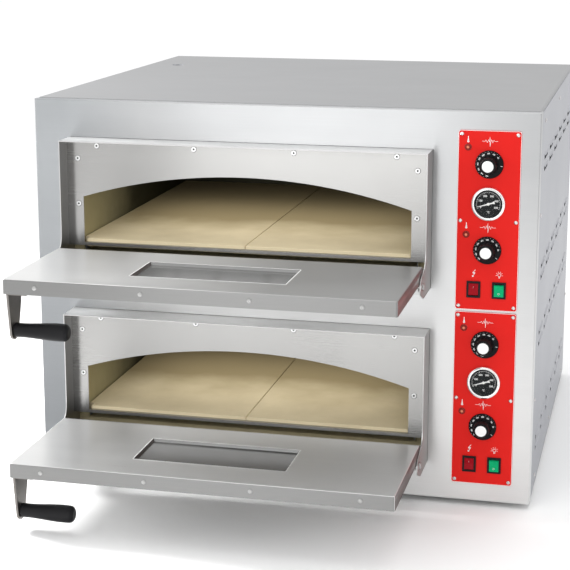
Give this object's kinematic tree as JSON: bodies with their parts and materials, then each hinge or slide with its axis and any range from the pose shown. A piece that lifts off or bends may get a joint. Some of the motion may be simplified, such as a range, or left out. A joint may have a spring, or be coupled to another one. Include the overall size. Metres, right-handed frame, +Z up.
{
  "type": "countertop pizza oven",
  "caption": "Double-deck electric countertop pizza oven with arched mouths, stone floors, drop-down doors with side handles, and a control column beside each deck.",
  "frame": {"origin": "centre of the bounding box's bottom face, on the plane the feet stand on, with both doors open", "axes": "+Z up, -Y out of the front, +X towards the control column (right as seen from the front)"},
  "size_m": [0.9794, 1.302, 0.7565],
  "materials": {
    "brushed_stainless": "horizontally brushed, satin",
    "galvanised_sheet": "plain zinc-coated sheet",
    "liner_steel": "heat-tinted satin sheet",
    "refractory_clay": "fired clay slab, matt, slightly gritty",
    "element_sheath": "oxidised sheath",
    "mineral_wool": "loose fibre",
    "screw_steel": "bright steel",
    "plated_screw": "bright plated",
    "red_lacquer": "satin red lacquer",
    "bracket_steel": "dark satin steel",
    "black_bakelite": "semi-matt moulded",
    "clear_glass": "clear toughened",
    "lamp_holder_steel": "plain",
    "gauge_black": "matt black dial and case",
    "chrome_ring": "polished",
    "needle_white": "white paint",
    "red_switch_key": "dark red translucent",
    "green_switch_key": "green translucent",
    "amber_lens": "amber translucent",
    "foot_rubber": "black rubber",
    "wire_sleeve": "silicone sleeve"
  },
  "bodies": {
    "oven": {"back_panel": "galvanised_sheet", "base_pan": "galvanised_sheet", "cable_gland": "black_bakelite", "casing_screws": "screw_steel", "chamber_lamp_glasses": "clear_glass", "chamber_lamp_holders": "lamp_holder_steel", "control_plate_screws": "plated_screw", "control_plates": "red_lacquer", "deck_rails": "galvanised_sheet", "door_stops": "screw_steel", "fascia": "brushed_stainless", "floor_tiles": "refractory_clay", "floor_trays": "galvanised_sheet", "gauge_bezels": "chrome_ring", "gauge_cases": "gauge_black", "gauge_glasses": "clear_glass", "heating_elements": "element_sheath", "hinge_pins": "screw_steel", "insulation_jackets": "mineral_wool", "left_side_panel": "brushed_stainless", "lower_chamber_liner": "liner_steel", "lower_hood": "brushed_stainless", "lower_mouth_plate": "brushed_stainless", "mouth_plate_screws": "screw_steel", "pilot_lamps": "amber_lens", "right_side_panel": "brushed_stainless", "rubber_feet": "foot_rubber", "steam_outlet": "galvanised_sheet", "switch_frames": "black_bakelite", "terminal_block": "black_bakelite", "thermostats": "black_bakelite", "top_cover": "brushed_stainless", "upper_chamber_liner": "liner_steel", "upper_hood": "brushed_stainless", "upper_mouth_plate": "brushed_stainless", "wiring_looms": "wire_sleeve"},
    "lower_door": {"lower_door_inner_skin": "brushed_stainless", "lower_door_outer_skin": "brushed_stainless", "lower_door_glass": "clear_glass", "lower_door_insulation": "mineral_wool", "lower_door_fasteners": "screw_steel", "lower_handle_bracket": "bracket_steel", "lower_handle_grip": "black_bakelite"},
    "lower_top_heat_knob": {"lower_top_heat_knob": "black_bakelite"},
    "lower_floor_heat_knob": {"lower_floor_heat_knob": "black_bakelite"},
    "lower_gauge_needle": {"lower_gauge_needle": "needle_white"},
    "lower_power_rocker": {"lower_power_rocker": "red_switch_key"},
    "lower_light_rocker": {"lower_light_rocker": "green_switch_key"},
    "upper_door": {"upper_door_inner_skin": "brushed_stainless", "upper_door_outer_skin": "brushed_stainless", "upper_door_glass": "clear_glass", "upper_door_insulation": "mineral_wool", "upper_door_fasteners": "screw_steel", "upper_handle_bracket": "bracket_steel", "upper_handle_grip": "black_bakelite"},
    "upper_top_heat_knob": {"upper_top_heat_knob": "black_bakelite"},
    "upper_floor_heat_knob": {"upper_floor_heat_knob": "black_bakelite"},
    "upper_gauge_needle": {"upper_gauge_needle": "needle_white"},
    "upper_power_rocker": {"upper_power_rocker": "red_switch_key"},
    "upper_light_rocker": {"upper_light_rocker": "green_switch_key"}
  },
  "joints": [
    {"name": "lower_door_hinge", "type": "hinge", "parent": "oven", "child": "lower_door", "pos_m": [-0.062, -0.395, 0.106], "axis": [-1, 0, 0], "range_deg": [0, 90]},
    {"name": "lower_top_heat_knob_turn", "type": "hinge", "parent": "oven", "child": "lower_top_heat_knob", "pos_m": [0.396, -0.308, 0.319], "axis": [0, 1, 0], "range_deg": [-95, 175]},
    {"name": "lower_floor_heat_knob_turn", "type": "hinge", "parent": "oven", "child": "lower_floor_heat_knob", "pos_m": [0.396, -0.308, 0.159], "axis": [0, 1, 0], "range_deg": [-128, 142]},
    {"name": "lower_gauge_needle_turn", "type": "hinge", "parent": "oven", "child": "lower_gauge_needle", "pos_m": [0.396, -0.303, 0.246], "axis": [0, 1, 0], "range_deg": [-8, 222]},
    {"name": "lower_power_rocker_tilt", "type": "hinge", "parent": "oven", "child": "lower_power_rocker", "pos_m": [0.3725, -0.297, 0.084], "axis": [1, 0, 0], "range_deg": [0, 14]},
    {"name": "lower_light_rocker_tilt", "type": "hinge", "parent": "oven", "child": "lower_light_rocker", "pos_m": [0.4195, -0.297, 0.084], "axis": [1, 0, 0], "range_deg": [-14, 0]},
    {"name": "upper_door_hinge", "type": "hinge", "parent": "oven", "child": "upper_door", "pos_m": [-0.062, -0.395, 0.446], "axis": [-1, 0, 0], "range_deg": [0, 90]},
    {"name": "upper_top_heat_knob_turn", "type": "hinge", "parent": "oven", "child": "upper_top_heat_knob", "pos_m": [0.396, -0.308, 0.659], "axis": [0, 1, 0], "range_deg": [-95, 175]},
    {"name": "upper_floor_heat_knob_turn", "type": "hinge", "parent": "oven", "child": "upper_floor_heat_knob", "pos_m": [0.396, -0.308, 0.499], "axis": [0, 1, 0], "range_deg": [-128, 142]},
    {"name": "upper_gauge_needle_turn", "type": "hinge", "parent": "oven", "child": "upper_gauge_needle", "pos_m": [0.396, -0.303, 0.586], "axis": [0, 1, 0], "range_deg": [-8, 222]},
    {"name": "upper_power_rocker_tilt", "type": "hinge", "parent": "oven", "child": "upper_power_rocker", "pos_m": [0.3725, -0.297, 0.424], "axis": [1, 0, 0], "range_deg": [0, 14]},
    {"name": "upper_light_rocker_tilt", "type": "hinge", "parent": "oven", "child": "upper_light_rocker", "pos_m": [0.4195, -0.297, 0.424], "axis": [1, 0, 0], "range_deg": [-14, 0]}
  ]
}
